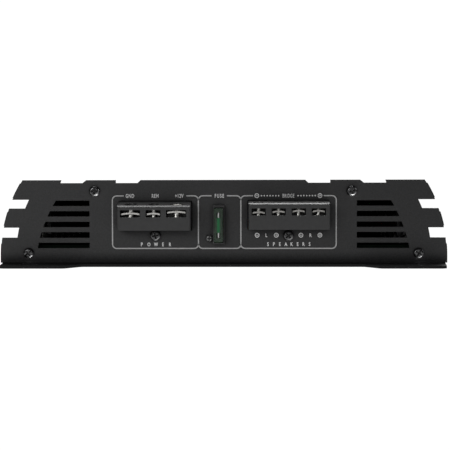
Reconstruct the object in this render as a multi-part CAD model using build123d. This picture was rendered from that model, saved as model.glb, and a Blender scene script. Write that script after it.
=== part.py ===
from build123d import *
import math
import os

# Car amplifier: extruded heat-sink case closed by two folded sheet-steel end plates.
# X is the width, -Y the terminal end, +Y the control end, +Z up. The origin is the
# bottom centre: z = 0 is the plane of the mounting flanges.

# ---- case ------------------------------------------------------------------
HALF_LENGTH = 95.0        # half length of the heat-sink extrusion
SHEET = 1.5               # thickness of the end plates and their flanges
PLATE_HALF_W = 125.0
PLATE_TOP = 48.3
CONTROL_TOP = 46.6        # the plate at the control end is level with the case
PLATE_FOOT = 3.0          # height at which the bend into the flange starts
ARC_X = 45.0              # centre of the rounded side of the outline
ARC_Z = 5.5
ARC_R = 80.0
SINK_GROW = 0.6           # how far the extrusion stands proud of the plate at the sides
SINK_BOTTOM = 1.8
SINK_TOP = 46.5           # the end plates stand higher than the ribs between them
RIB_PITCH = 9.0
RIB_GROOVE_W = 3.6
RIB_GROOVE_DEPTH = 2.0
RIB_GROOVES = [-11, -10, -9, -7, -6, -5, -4, -3, -2, -1, 0, 1, 2, 3, 4, 5, 6, 7, 9, 10, 11]

# notches along the plate's top: start and foot of the slope, far wall at the lip and floor
TOP_CHANNELS = [(46.1, 47.8, 60.1, 60.1), (76.7, 78.7, 90.8, 91.4)]
CHANNEL_DEPTH = 1.65
SIDE_NOTCHES = [(16.0, 21.6), (32.4, 37.3)]
NOTCH_DEPTH = 8.5
# the extrusion's side grooves are wider than the plate's notches by these amounts
GROOVE_FLOOR_DROP = [3.5, 2.0]
GROOVE_SETBACK = 1.0

VENT_ROWS = [(33.8, 36.8), (27.9, 30.9), (21.9, 24.9), (15.9, 19.1), (10.1, 13.1)]
VENT_INNER_X = 74.9
VENT_ARC = (24.2, -5.6)    # centre of the arc on which the vents end
VENT_ARC_R = 81.6

CAVITY_HALF_W = 105.0
CAVITY_TOP = 42.5
CAVITY_CHAMFER = 6.5
UPPER_PORT = (72.0, 42.05)
LOWER_PORT = (109.3, 7.3)
PORT_R = 1.45
PORT_BOSS_R = 3.6

# ---- mounting flange --------------------------------------------------------
FLANGE_HALF_W = 124.2
BEND_R = 1.5              # inside radius
FLANGE_MID = 7.5          # depth of the flange between the tabs, from the plate face
TAB_DEPTH = 20.5
TAB_ROOT_X = 78.6
TAB_TIP_X = 86.2
TAB_END_X = 121.9
SLOT_X = 102.5
SLOT_DEPTH = 14.0         # slot centre line, from the plate face
SLOT_LENGTH = 17.5
SLOT_WIDTH = 5.0

# ---- screws -----------------------------------------------------------------
M3_R = 1.35
M3_HEAD_R = 3.0
M3_HEAD_H = 2.1
M3_CLEAR_R = 1.7
M2_R = 0.9
M2_HEAD_R = 1.95
M2_HEAD_H = 1.4

# ---- bottom cover -------------------------------------------------------------
COVER_THICK = 1.2
COVER_HALF_W = 122.0
COVER_HALF_L = 94.5
COVER_SCREW_X = 118.0
COVER_SCREW_Y = [-80.0, 0.0, 80.0]
COVER_SCREW_R = 1.2
COVER_SCREW_HEAD_R = 2.4

# ---- circuit board --------------------------------------------------------------
BOARD_HALF_W = 106.3
BOARD_HALF_L = 92.5
BOARD_BOTTOM = 10.0
BOARD_TOP = 11.6

# ---- terminal blocks ---------------------------------------------------------------
FACE_Y = -(HALF_LENGTH + SHEET)
BLOCK_FRONT = FACE_Y - 13.0
BLOCK_BACK = -86.0
INNER_Y = -(HALF_LENGTH - 0.2)   # just behind the end plate
SCREW_AXIS_Y = -104.6
MOUTH_BACK = -97.0
EDGE = 0.8                # bevel along the top front edge
WALL_GAP = 0.45           # gap between a block and its cut-out

# left, right, bottom, front face top, top at the plate
POWER_BLOCK = (-58.0, -17.6, 20.4, 33.4, 36.2)
SPEAKER_BLOCK = (14.35, 59.05, 20.8, 34.8, 36.5)
POWER_MOUTH = (27.75, 31.7)
SPEAKER_MOUTH = (28.7, 32.55)
# name, axis x, mouth width, thread radius, head radius, top of the clamp plate
POWER_TERMINALS = [
    ("ground", -50.75, 11.1, 2.0, 3.2, 30.3),
    ("remote", -38.05, 8.2, 1.5, 2.7, 30.2),
    ("supply", -25.35, 11.1, 2.0, 3.2, 31.15),
]
SPEAKER_TERMINALS = [
    ("speaker_1", 20.0, 7.75, 1.5, 2.7, 30.9),
    ("speaker_2", 31.0, 7.75, 1.5, 2.7, 31.35),
    ("speaker_3", 42.0, 7.75, 1.5, 2.7, 31.65),
    ("speaker_4", 53.0, 7.75, 1.5, 2.7, 31.65),
]
CLAMP_THICK = 0.9
CLAMP_DROOP = 0.5         # how far the ends of the arched clamp plate hang down
CLAMP_FRONT = -108.0
CLAMP_BACK = -99.4
CLAMP_SIDE_GAP = 0.55
HEAD_ABOVE_CLAMP = 2.0    # underside of the screw head above the clamp plate
TERMINAL_HEAD_H = 1.8
RUNNING = 0.05            # radial running clearance
CONTACT_THICK = 1.2
COLLAR_BOTTOM = 4.6       # below the mouth floor
SHANK_BELOW_MOUTH = 4.75
BLOCK_SCREW_Z = 17.1
POWER_SCREW_X = -37.8
SPEAKER_SCREW_X = 36.7

# ---- fuse ---------------------------------------------------------------------------
FUSE_X = -2.3
FUSE_Z = 23.0
FUSE_LONG = 19.1
FUSE_THICK = 5.1
FUSE_NECK_LONG = 14.9
FUSE_FRONT = FACE_Y - 6.0
FUSE_NECK_Y = -96.2
FUSE_BACK = -90.3
BLADE_PITCH = 9.5
BLADE_W = 5.2
BLADE_T = 0.65
BLADE_END = -83.6
HOLDER_HALF_W = 3.25
HOLDER_BOTTOM = 12.3
HOLDER_TOP = 34.0
HOLDER_FRONT = FACE_Y - 2.2
HOLDER_FLOOR = -90.2
HOLDER_BACK = -79.5
HOLDER_SCREW_X = -7.6
HOLDER_SCREW_Z = 15.5

# ---- power parts on the board ----------------------------------------------------------
DEVICE_Y = [-70.0 + 24.0 * i for i in range(6)]
BAR_SCREW_Y = [-82.0, -34.0, 14.0, 62.0]
BAR_Z = 27.0
PAD_T = 0.3
TAB_T = 1.3
BODY_T = 4.5
BODY_W = 10.0
BODY_Z = (15.7, 24.9)
TAB_TOP = 31.4
BAR_T = 2.0
TOROID_AT = (-38.0, -45.0)
CHOKE_AT = (6.0, -56.0)
SUPPLY_CAPS = [(33.0, -66.0), (51.0, -66.0), (33.0, -47.0), (51.0, -47.0)]
RAIL_CAPS = [(-12.0, -12.0), (10.0, -12.0), (-12.0, 10.0), (10.0, 10.0)]
RESISTORS = [(62.0, -20.0 + 11.0 * i) for i in range(5)]
CHIPS = [(-30.0, 40.0), (-10.0, 40.0), (10.0, 40.0), (32.0, 40.0), (32.0, 60.0), (54.0, 60.0)]

# ---- control end ---------------------------------------------------------------------------
RCA_X = [-54.0, -40.0]
RCA_Z = [17.5, 31.5]
RCA_SHELL_R = 4.15
RCA_BASE_R = 4.5          # thicker base of the shell, through the plate
RCA_BASE_PROUD = 0.5
RCA_LENGTH = 9.5
RCA_BORE_R = 1.6
POT_X = [8.0, 28.0, 48.0]
POT_Z = 23.5
POT_NAMES = ["level_knob", "low_pass_knob", "bass_boost_knob"]
SHAFT_R = 3.0
KNOB_R = 5.2
SWITCH_X = -14.0
SWITCH_Z = 23.5
SWITCH_TRAVEL = 2.0
LED_X = 64.0
LED_Z = [19.0, 28.0]
LED_R = 1.5


# ---- shape helpers ------------------------------------------------------------------------

def rect(x0, x1, z0, z1):
    """Rectangle between two limits on each sketch axis."""
    return Pos((x0 + x1) / 2, (z0 + z1) / 2) * Rectangle(x1 - x0, z1 - z0)


def block(x0, x1, y0, y1, z0, z1):
    """Rectangular block between two limits on each axis."""
    middle = Pos((x0 + x1) / 2, (y0 + y1) / 2, (z0 + z1) / 2)
    return middle * Box(x1 - x0, y1 - y0, z1 - z0)


def along_y(sketch, y0, y1):
    """Extrude an X-Z outline from y0 to y1."""
    return extrude(Plane.XZ.offset(-y0) * sketch, amount=y1 - y0, dir=(0, 1, 0))


def along_x(sketch, x0, x1):
    """Extrude a Y-Z outline from x0 to x1."""
    return extrude(Plane.YZ.offset(x0) * sketch, amount=x1 - x0, dir=(1, 0, 0))


def rod_x(y, z, r, x0, x1):
    return Pos((x0 + x1) / 2, y, z) * Rot(0, 90, 0) * Cylinder(r, x1 - x0)


def rod_y(x, z, r, y0, y1):
    return Pos(x, (y0 + y1) / 2, z) * Rot(90, 0, 0) * Cylinder(r, y1 - y0)


def rod_z(x, y, r, z0, z1):
    return Pos(x, y, (z0 + z1) / 2) * Cylinder(r, z1 - z0)


def both_sides(shape):
    """The shape and its mirror image across the middle of the case."""
    return shape + mirror(shape, about=Plane.YZ)


def group(solids):
    """Separate solids kept as one compound."""
    return Compound(children=[s for shape in solids for s in shape.solids()])


def pan_screw(head_r, head_h, shank_r, length):
    """Cross-recess pan-head screw, head up, seat at z = 0."""
    head = Pos(0, 0, head_h / 2) * Cylinder(head_r, head_h)
    head = fillet(head.edges().sort_by(Axis.Z)[-1], head_h * 0.72)
    arm = head_r * 0.62
    width = head_r * 0.3
    recess = Pos(0, 0, head_h) * (Box(2 * arm, width, head_h * 1.1) + Box(width, 2 * arm, head_h * 1.1))
    shank = Pos(0, 0, -length / 2) * Cylinder(shank_r, length)
    tip = shank.edges().sort_by(Axis.Z)[0]
    return head - recess + chamfer(tip, shank_r * 0.35)


def face_front(x, y, z, screw):
    return Pos(x, y, z) * Rot(90, 0, 0) * screw


def face_back(x, y, z, screw):
    return Pos(x, y, z) * Rot(-90, 0, 0) * screw


# ---- case parts ---------------------------------------------------------------------------

def side_disc(radius):
    return both_sides(Pos(ARC_X, ARC_Z) * Circle(radius))


def case_outline(grow, bottom, top):
    """End-on outline of the case before channels and notches are cut."""
    radius = ARC_R + grow
    arch = side_disc(radius) + rect(-ARC_X, ARC_X, ARC_Z, ARC_Z + radius)
    upper = arch & rect(-150, 150, ARC_Z, top)
    return upper + rect(-PLATE_HALF_W - grow, PLATE_HALF_W + grow, bottom, ARC_Z)


def top_channels():
    """Shallow notches along the top edge of the terminal end plate."""
    floor = PLATE_TOP - CHANNEL_DEPTH
    cut = Sketch()
    for start, foot, wall, wall_foot in TOP_CHANNELS:
        points = [
            (start, PLATE_TOP + 2),
            (start, PLATE_TOP),
            (foot, floor),
            (wall_foot, floor),
            (wall, PLATE_TOP),
            (wall, PLATE_TOP + 2),
        ]
        cut += both_sides(Polygon(*points, align=None))
    return cut


def rib_grooves():
    """Grooves along the top of the extrusion; there is none over the screw ports."""
    cut = Sketch()
    for i in RIB_GROOVES:
        middle = RIB_PITCH * i
        half = RIB_GROOVE_W / 2
        cut += rect(middle - half, middle + half, SINK_TOP - RIB_GROOVE_DEPTH, SINK_TOP + 1)
    return cut


def side_notches(drops, setback):
    """Notches in the rounded sides, back to a wall concentric with the side."""
    cut = Sketch()
    for (low, high), drop in zip(SIDE_NOTCHES, drops):
        band = rect(90, 140, low - drop, high + setback)
        band -= Pos(ARC_X, ARC_Z) * Circle(ARC_R - NOTCH_DEPTH - setback)
        cut += both_sides(band)
    return cut


def make_heat_sink():
    profile = case_outline(SINK_GROW, SINK_BOTTOM, SINK_TOP)
    profile -= rib_grooves()
    profile -= side_notches(GROOVE_FLOOR_DROP, GROOVE_SETBACK)
    half = CAVITY_HALF_W
    shoulder = CAVITY_TOP - CAVITY_CHAMFER
    cavity = Polygon(
        (-half, SINK_BOTTOM - 1),
        (half, SINK_BOTTOM - 1),
        (half, shoulder),
        (half - CAVITY_CHAMFER, CAVITY_TOP),
        (CAVITY_CHAMFER - half, CAVITY_TOP),
        (-half, shoulder),
        align=None,
    )
    profile -= cavity
    profile -= both_sides(rect(half - 1, BOARD_HALF_W + 0.4, BOARD_BOTTOM - 0.2, BOARD_TOP + 0.2))
    profile += both_sides(Pos(*UPPER_PORT) * Circle(PORT_BOSS_R))
    for port in (UPPER_PORT, LOWER_PORT):
        profile -= both_sides(Pos(*port) * Circle(PORT_R))
    sink = along_y(profile, -HALF_LENGTH, HALF_LENGTH)
    for y in COVER_SCREW_Y:
        sink -= both_sides(rod_z(COVER_SCREW_X, y, COVER_SCREW_R + RUNNING, SINK_BOTTOM - 1, 9))
    for y in BAR_SCREW_Y:
        sink -= both_sides(rod_x(y, BAR_Z, M3_R + RUNNING, half - 1, half + 8))
    return sink


def flange_outline():
    """Plan of the flange with its two wide tabs, for the terminal end."""
    root = FACE_Y - BEND_R
    middle = FACE_Y - FLANGE_MID
    tip = FACE_Y - TAB_DEPTH
    half = [
        (TAB_ROOT_X, middle),
        (TAB_TIP_X, tip),
        (TAB_END_X, tip),
        (FLANGE_HALF_W, root),
    ]
    other = [(-x, y) for x, y in reversed(half)]
    plan = Polygon(*half, *other, align=None)
    plan = fillet([v for v in plan.vertices() if v.Y < middle + 0.1], 4.0)
    for side in (-1, 1):
        slot = SlotOverall(SLOT_LENGTH, SLOT_WIDTH)
        plan -= Pos(side * SLOT_X, FACE_Y - SLOT_DEPTH) * slot
    return plan


def plate_blank(top):
    """Folded end plate for the terminal end, before its vents and connectors are cut out."""
    outline = case_outline(0, PLATE_FOOT, top) - side_notches([0, 0], 0)
    if top > PLATE_TOP - CHANNEL_DEPTH:
        outline -= top_channels()
    for port in (UPPER_PORT, LOWER_PORT):
        outline -= both_sides(Pos(*port) * Circle(M3_CLEAR_R))
    plate = along_y(outline, FACE_Y, -HALF_LENGTH)
    centre_y = FACE_Y - BEND_R
    bend = Pos(centre_y, PLATE_FOOT) * (Circle(BEND_R + SHEET) - Circle(BEND_R))
    bend = bend & rect(centre_y, centre_y + BEND_R + SHEET, 0, PLATE_FOOT)
    plate += along_x(bend, -FLANGE_HALF_W, FLANGE_HALF_W)
    return plate + extrude(flange_outline(), amount=SHEET)


def make_terminal_plate():
    plate = plate_blank(PLATE_TOP)
    for low, high in VENT_ROWS:
        slot = rect(VENT_INNER_X, 115, low, high)
        slot = slot & Pos(*VENT_ARC) * Circle(VENT_ARC_R)
        plate -= along_y(both_sides(slot), FACE_Y - 1, INNER_Y)
    for left, right, bottom, _, top in (POWER_BLOCK, SPEAKER_BLOCK):
        hole = rect(left - WALL_GAP, right + WALL_GAP, bottom - WALL_GAP, top + WALL_GAP)
        plate -= along_y(hole, FACE_Y - 1, INNER_Y)
    hole = rect(
        FUSE_X - HOLDER_HALF_W - 0.1,
        FUSE_X + HOLDER_HALF_W + 0.1,
        HOLDER_BOTTOM - 0.1,
        HOLDER_TOP + 0.1,
    )
    plate -= along_y(hole, FACE_Y - 1, INNER_Y)
    for x in (POWER_SCREW_X, SPEAKER_SCREW_X):
        plate -= rod_y(x, BLOCK_SCREW_Z, M3_CLEAR_R, FACE_Y - 1, INNER_Y)
    plate -= rod_y(HOLDER_SCREW_X, HOLDER_SCREW_Z, M2_R + 0.2, FACE_Y - 1, INNER_Y)
    return plate


def make_control_plate():
    plate = Rot(0, 0, 180) * plate_blank(CONTROL_TOP)
    out = -FACE_Y + 1
    inside = -INNER_Y - 1
    for x in RCA_X:
        for z in RCA_Z:
            plate -= rod_y(x, z, RCA_BASE_R + 0.15, inside, out)
    plate -= rod_y(sum(RCA_X) / 2, sum(RCA_Z) / 2, M3_CLEAR_R, inside, out)
    for x in POT_X:
        plate -= rod_y(x, POT_Z, SHAFT_R + 0.6, inside, out)
    window = rect(SWITCH_X - 4.4, SWITCH_X + 4.4, SWITCH_Z - 2.2, SWITCH_Z + 2.2)
    plate -= along_y(window, inside, out)
    for z in LED_Z:
        plate -= rod_y(LED_X, z, LED_R + 0.15, inside, out)
    return plate


def make_bottom_cover():
    low = SINK_BOTTOM - COVER_THICK
    cover = block(-COVER_HALF_W, COVER_HALF_W, -COVER_HALF_L, COVER_HALF_L, low, SINK_BOTTOM)
    cover = fillet(cover.edges().filter_by(Axis.Z), 3.0)
    cone = Pos(0, 0, low + COVER_THICK / 2) * Cone(COVER_SCREW_HEAD_R + 0.05, COVER_SCREW_R + 0.1, COVER_THICK)
    for y in COVER_SCREW_Y:
        cover -= both_sides(Pos(COVER_SCREW_X, y, 0) * cone)
    return cover


def make_cover_screws():
    low = SINK_BOTTOM - COVER_THICK
    head = Pos(0, 0, low + COVER_THICK / 2) * Cone(COVER_SCREW_HEAD_R, COVER_SCREW_R, COVER_THICK)
    recess = Pos(0, 0, low) * (Box(2.8, 0.6, 1.2) + Box(0.6, 2.8, 1.2))
    screw = head - recess + rod_z(0, 0, COVER_SCREW_R, SINK_BOTTOM, 8)
    return group(
        [Pos(side * COVER_SCREW_X, y, 0) * screw for side in (-1, 1) for y in COVER_SCREW_Y]
    )


def make_end_plate_screws():
    screw = pan_screw(M3_HEAD_R, M3_HEAD_H, M3_R, 11)
    spots = [(side * x, z) for x, z in (UPPER_PORT, LOWER_PORT) for side in (-1, 1)]
    front = [face_front(x, FACE_Y, z, Rot(0, 0, 20 * i) * screw) for i, (x, z) in enumerate(spots)]
    back = [face_back(x, -FACE_Y, z, Rot(0, 0, 35 * i) * screw) for i, (x, z) in enumerate(spots)]
    return group(front + back)


def make_circuit_board():
    board = block(-BOARD_HALF_W, BOARD_HALF_W, -BOARD_HALF_L, BOARD_HALF_L, BOARD_BOTTOM, BOARD_TOP)
    return board - rod_z(*TOROID_AT, 2.2, 0, 20)


# ---- terminal blocks -----------------------------------------------------------------------

def make_block(limits, mouth, terminals, screw_x):
    """Moulded block: mouths in the front face, wells for the clamp screws from above."""
    left, right, bottom, face_top, top = limits
    mouth_low, mouth_high = mouth
    side = Polygon(
        (BLOCK_FRONT, bottom),
        (BLOCK_FRONT, face_top),
        (BLOCK_FRONT + EDGE, face_top + EDGE),
        (FACE_Y, top),
        (BLOCK_BACK, top),
        (BLOCK_BACK, BOARD_TOP),
        (INNER_Y, BOARD_TOP),
        (INNER_Y, bottom),
        align=None,
    )
    body = along_x(side, left, right)
    uprights = [e for e in body.edges().filter_by(Axis.Z) if e.center().Y < BLOCK_FRONT + 0.1]
    body = chamfer(uprights, 0.5)
    for _, x, width, thread_r, head_r, _ in terminals:
        half = width / 2
        body -= block(x - half, x + half, BLOCK_FRONT - 1, MOUTH_BACK, mouth_low, mouth_high)
        body -= rod_z(x, SCREW_AXIS_Y, head_r + 0.35, mouth_high, top + 5)
        low = mouth_low - CONTACT_THICK
        body -= block(x - half, x + half, CLAMP_FRONT, BLOCK_BACK + 1, low, mouth_low)
        body -= rod_z(x, SCREW_AXIS_Y, thread_r + 1.7, mouth_low - COLLAR_BOTTOM - 1.5, mouth_low)
    return body - rod_y(screw_x, BLOCK_SCREW_Z, M3_R + RUNNING, INNER_Y - 1, INNER_Y + 6)


def make_contacts(mouth, terminals):
    """Contact bars under the mouths, each with a threaded collar and a leg to the board."""
    floor = mouth[0]
    low = floor - CONTACT_THICK
    bars = []
    for _, x, width, thread_r, _, _ in terminals:
        half = width / 2 - 0.15
        bar = block(x - half, x + half, CLAMP_FRONT + 0.2, BLOCK_BACK + CONTACT_THICK, low, floor)
        bar += rod_z(x, SCREW_AXIS_Y, thread_r + 1.6, floor - COLLAR_BOTTOM, low)
        bar += block(x - half, x + half, BLOCK_BACK, BLOCK_BACK + CONTACT_THICK, BOARD_TOP, floor)
        bars.append(bar - rod_z(x, SCREW_AXIS_Y, thread_r + RUNNING, 0, 60))
    return group(bars)


def make_clamp(terminal):
    """Arched wire-clamp plate held captive on its screw."""
    _, x, width, thread_r, _, z = terminal
    half = width / 2 - CLAMP_SIDE_GAP
    end = z - CLAMP_DROOP
    top = ThreePointArc((x - half, end), (x, z), (x + half, end))
    under = ThreePointArc((x + half, end - CLAMP_THICK), (x, z - CLAMP_THICK), (x - half, end - CLAMP_THICK))
    right = Line((x + half, end), (x + half, end - CLAMP_THICK))
    left = Line((x - half, end - CLAMP_THICK), (x - half, end))
    plate = along_y(make_face([top, right, under, left]), CLAMP_FRONT + 0.3, CLAMP_BACK)
    return plate - rod_z(x, SCREW_AXIS_Y, thread_r - 0.35 + RUNNING, z - 3, z + 3)


def make_clamp_screw(terminal, mouth):
    """Screw with a groove for the clamp plate and a head in the well above."""
    _, x, _, thread_r, head_r, z = terminal
    seat = z + HEAD_ABOVE_CLAMP
    head = rod_z(x, SCREW_AXIS_Y, head_r, seat, seat + TERMINAL_HEAD_H)
    head = fillet(head.edges().sort_by(Axis.Z)[-1], 0.7)
    slot = Box(2 * head_r * 0.64, 0.9, 2.4) + Box(0.9, 2 * head_r * 0.64, 2.4)
    head -= Pos(x, SCREW_AXIS_Y, seat + TERMINAL_HEAD_H) * Rot(0, 0, 30) * slot
    gap = 0.1
    upper = rod_z(x, SCREW_AXIS_Y, thread_r, z + gap, seat)
    neck = rod_z(x, SCREW_AXIS_Y, thread_r - 0.35, z - CLAMP_THICK - gap, z + gap)
    tip = mouth[0] - SHANK_BELOW_MOUTH + 0.8
    thread = rod_z(x, SCREW_AXIS_Y, thread_r, tip, z - CLAMP_THICK - gap)
    return head + upper + neck + thread


# ---- fuse ------------------------------------------------------------------------------------

def make_fuse_holder():
    left = FUSE_X - HOLDER_HALF_W
    right = FUSE_X + HOLDER_HALF_W
    holder = block(left, right, HOLDER_FRONT, INNER_Y, HOLDER_BOTTOM, HOLDER_TOP)
    holder += block(left, right, INNER_Y, HOLDER_BACK, BOARD_TOP, HOLDER_TOP)
    half = FUSE_LONG / 2 + 0.35
    wide = FUSE_THICK / 2 + 0.15
    centre = (FUSE_X - wide, FUSE_X + wide)
    holder -= block(*centre, HOLDER_FRONT - 1, HOLDER_FLOOR, FUSE_Z - half, FUSE_Z + half)
    holder -= block(*centre, HOLDER_FLOOR - 1, HOLDER_BACK + 1, FUSE_Z - 8.2, FUSE_Z + 8.2)
    ear = block(HOLDER_SCREW_X - 3, left, INNER_Y, INNER_Y + 5, BOARD_TOP, HOLDER_SCREW_Z + 3)
    return holder + ear - rod_y(HOLDER_SCREW_X, HOLDER_SCREW_Z, M2_R + RUNNING, INNER_Y - 1, INNER_Y + 4.5)


def make_fuse_contacts():
    """Two spring jaws that grip the blades, each with a leg down to the board."""
    jaws = []
    back = BLADE_END + 1.2
    for side in (-1, 1):
        z = FUSE_Z + side * BLADE_PITCH / 2
        jaw = block(FUSE_X - 1.2, FUSE_X + 1.2, HOLDER_FLOOR + 0.6, back, z - 2.9, z + 2.9)
        gap = BLADE_T / 2 + RUNNING
        jaw -= block(FUSE_X - gap, FUSE_X + gap, HOLDER_FLOOR - 1, BLADE_END + 0.3, z - 4, z + 4)
        x = FUSE_X + side * 1.35
        jaw += block(min(x - 0.8, FUSE_X), max(x + 0.8, FUSE_X), back, back + 0.9, z - 2.9, z + 2.9)
        jaw += block(x - 0.8, x + 0.8, back, back + 0.9, BOARD_TOP + 3.2, z)
        jaws.append(jaw)
    return group(jaws)


def make_fuse_body():
    """Plug-in blade fuse housing: wide finger cap, narrower neck, two test windows."""
    wide = FUSE_THICK / 2
    half = FUSE_LONG / 2
    neck = FUSE_NECK_LONG / 2
    cap = block(FUSE_X - wide, FUSE_X + wide, FUSE_FRONT, FUSE_NECK_Y, FUSE_Z - half, FUSE_Z + half)
    cap = fillet(cap.edges().filter_by(Axis.Y), 0.8)
    cap = chamfer(cap.faces().sort_by(Axis.Y)[0].edges(), 0.35)
    thin = wide - 0.55
    body = cap + block(FUSE_X - thin, FUSE_X + thin, FUSE_NECK_Y, FUSE_BACK, FUSE_Z - neck, FUSE_Z + neck)
    inner = BLADE_T / 2 + 0.02
    chamber = block(FUSE_X - inner, FUSE_X + inner, FUSE_FRONT + 1.2, FUSE_BACK + 1, FUSE_Z - 7.4, FUSE_Z + 7.4)
    windows = [
        block(FUSE_X - 1.1, FUSE_X + 1.1, FUSE_FRONT - 1, FUSE_FRONT + 2, z - 1.5, z + 1.5)
        for z in (FUSE_Z - 5.6, FUSE_Z + 5.6)
    ]
    return body - chamber - windows[0] - windows[1]


def make_fuse_blades():
    """One stamped strip: two blades, two test points and the fusible link between them."""
    profile = Sketch()
    front = FUSE_FRONT + 1.4
    for side in (-1, 1):
        z = FUSE_Z + side * BLADE_PITCH / 2
        profile += rect(front, BLADE_END, z - BLADE_W / 2 + 0.05, z + BLADE_W / 2 - 0.05)
        near = FUSE_Z + side * 5.6
        profile += rect(FUSE_FRONT + 0.5, front + 1, near - 0.9, near + 0.9)
    link = Pos(front + 4.2, FUSE_Z) * (Circle(3.1) - Circle(2.1)) & rect(front, front + 4.2, FUSE_Z - 4, FUSE_Z + 4)
    strip = along_x(profile + link, FUSE_X - BLADE_T / 2, FUSE_X + BLADE_T / 2)
    tips = [e for e in strip.edges().filter_by(Axis.X) if e.center().Y > BLADE_END - 0.1]
    return chamfer(tips, 0.9)


# ---- parts on the board -------------------------------------------------------------------------

def wound_ring(centre, outer_r, inner_r, height, wire, angles):
    """Separate turns of wire round a ring core that stands on the board."""
    x, y = centre
    low = BOARD_TOP + 0.4
    mid = (outer_r + inner_r) / 2
    span = outer_r - inner_r
    outer = RectangleRounded(span + 2 * wire, height + 2 * wire, wire * 1.4)
    turn = outer - RectangleRounded(span + 0.12, height + 0.12, 0.4)
    loop = extrude(Plane.XZ * turn, amount=wire / 2, both=True)
    loop = Pos(mid, 0, low + wire + height / 2) * loop
    return [Pos(x, y, 0) * Rot(0, 0, angle) * loop for angle in angles]


def ring_core(centre, outer_r, inner_r, height, wire):
    low = BOARD_TOP + 0.4 + wire
    ring = Pos(*centre, low + height / 2) * (Cylinder(outer_r, height) - Cylinder(inner_r, height))
    return chamfer(ring.edges().filter_by(GeomType.CIRCLE), 0.45)


def make_toroid():
    """Supply transformer: ring core, thick primary and thinner secondary, clamp disc, bolt."""
    wire = 1.5
    size = (TOROID_AT, 21.0, 11.0, 14.0)
    top = BOARD_TOP + 0.4 + 14.0 + 2 * wire
    thin = 1.1
    primary = wound_ring(*size, wire, [36 * i for i in range(10)])
    secondary = wound_ring(*size, thin, [36 * i + part for i in range(10) for part in (12, 24)])
    secondary = [Pos(0, 0, wire - thin) * turn for turn in secondary]
    disc = rod_z(*TOROID_AT, 15.5, top, top + 1.6) - rod_z(*TOROID_AT, 2.2, 0, 50)
    bolt = rod_z(*TOROID_AT, 2.0, 4.2, top + 1.6) + rod_z(*TOROID_AT, 3.5, top + 1.6, top + 4)
    nut = Pos(*TOROID_AT, BOARD_BOTTOM - 1.6) * extrude(RegularPolygon(3.9, 6), amount=1.6)
    nut = Pos(0, 0, -1.6) * nut + nut - rod_z(*TOROID_AT, 2.0 + RUNNING, 0, 50)
    return ring_core(*size, wire), group(primary), group(secondary), disc, group([bolt, nut])


def make_choke():
    size = (CHOKE_AT, 12.0, 6.0, 10.0)
    return ring_core(*size, 1.3), group(wound_ring(*size, 1.3, [24 * i for i in range(15)]))


def capacitor(x, y, r, height):
    """Sleeved can with a rolled crimp near its foot and a scored vent on top."""
    top = BOARD_TOP + height
    can = rod_z(x, y, r, BOARD_TOP, top)
    can = fillet(can.edges().sort_by(Axis.Z)[-1], 0.8)
    crimp = Pos(x, y, BOARD_TOP + 3.2) * Torus(r + 0.35, 0.8)
    score = Pos(x, y, top) * (Box(r * 1.2, 0.5, 0.5) + Box(0.5, r * 1.2, 0.5))
    return can - crimp - score


def power_devices():
    """Three-lead transistors held against both inner walls: plastic bodies, then metal."""
    wall = CAVITY_HALF_W - PAD_T
    bodies = []
    metal = []
    for y in DEVICE_Y:
        shell = block(wall - BODY_T, wall, y - BODY_W / 2, y + BODY_W / 2, *BODY_Z)
        shell -= block(wall - TAB_T, wall + 1, y - BODY_W / 2 - 1, y + BODY_W / 2 + 1, 0, 60)
        tab = block(wall - TAB_T, wall, y - BODY_W / 2, y + BODY_W / 2, BODY_Z[0] + 0.5, TAB_TOP)
        tab -= rod_x(y, TAB_TOP - 2.8, 1.8, wall - 5, wall + 1)
        legs = []
        for step in (-1, 0, 1):
            at = y + step * 2.54
            legs.append(block(wall - 3.1, wall - 2.6, at - 0.4, at + 0.4, BOARD_TOP, BODY_Z[0]))
        for side in (-1, 1):
            turn = Rot(0, 0, 0 if side > 0 else 180)
            bodies.append(turn * shell)
            metal.append(turn * tab)
            metal.extend(turn * leg for leg in legs)
    return group(bodies), group(metal)


def make_pads():
    wall = CAVITY_HALF_W
    pad = block(wall - PAD_T, wall, DEVICE_Y[0] - 8, DEVICE_Y[-1] + 8, BODY_Z[0] - 0.5, TAB_TOP + 1)
    for y in BAR_SCREW_Y:
        pad -= rod_x(y, BAR_Z, M3_CLEAR_R, wall - 2, wall + 1)
    return group([pad, Rot(0, 0, 180) * mirror(pad, about=Plane.XZ)])


def make_clamp_bars():
    near = CAVITY_HALF_W - PAD_T - BODY_T
    ends = (BAR_SCREW_Y[0] - 6, BAR_SCREW_Y[-1] + 6)
    bar = block(near - BAR_T, near, *ends, BODY_Z[0] + 2, BAR_Z + 4.5)
    bar += block(near - BAR_T - 5, near, *ends, BAR_Z + 4.5, BAR_Z + 6)
    bar = fillet([e for e in bar.edges().filter_by(Axis.Y) if e.center().Z > BAR_Z + 5.9], 1.0)
    for y in BAR_SCREW_Y:
        bar -= rod_x(y, BAR_Z, M3_CLEAR_R, near - 9, near + 1)
    return group([bar, mirror(bar, about=Plane.YZ)])


def make_bar_screws():
    near = CAVITY_HALF_W - PAD_T - BODY_T - BAR_T
    screw = Rot(0, -90, 0) * pan_screw(M3_HEAD_R, M3_HEAD_H, M3_R, 13.5)
    right = [Pos(near, y, BAR_Z) * screw for y in BAR_SCREW_Y]
    return group(right + [mirror(s, about=Plane.YZ) for s in right])


def make_resistors():
    """Ceramic power resistors standing on the board."""
    parts = []
    for x, y in RESISTORS:
        body = block(x - 11, x + 11, y - 3.2, y + 3.2, BOARD_TOP, BOARD_TOP + 9)
        parts.append(fillet(body.edges().filter_by(Axis.X), 0.6))
    return group(parts)


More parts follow.
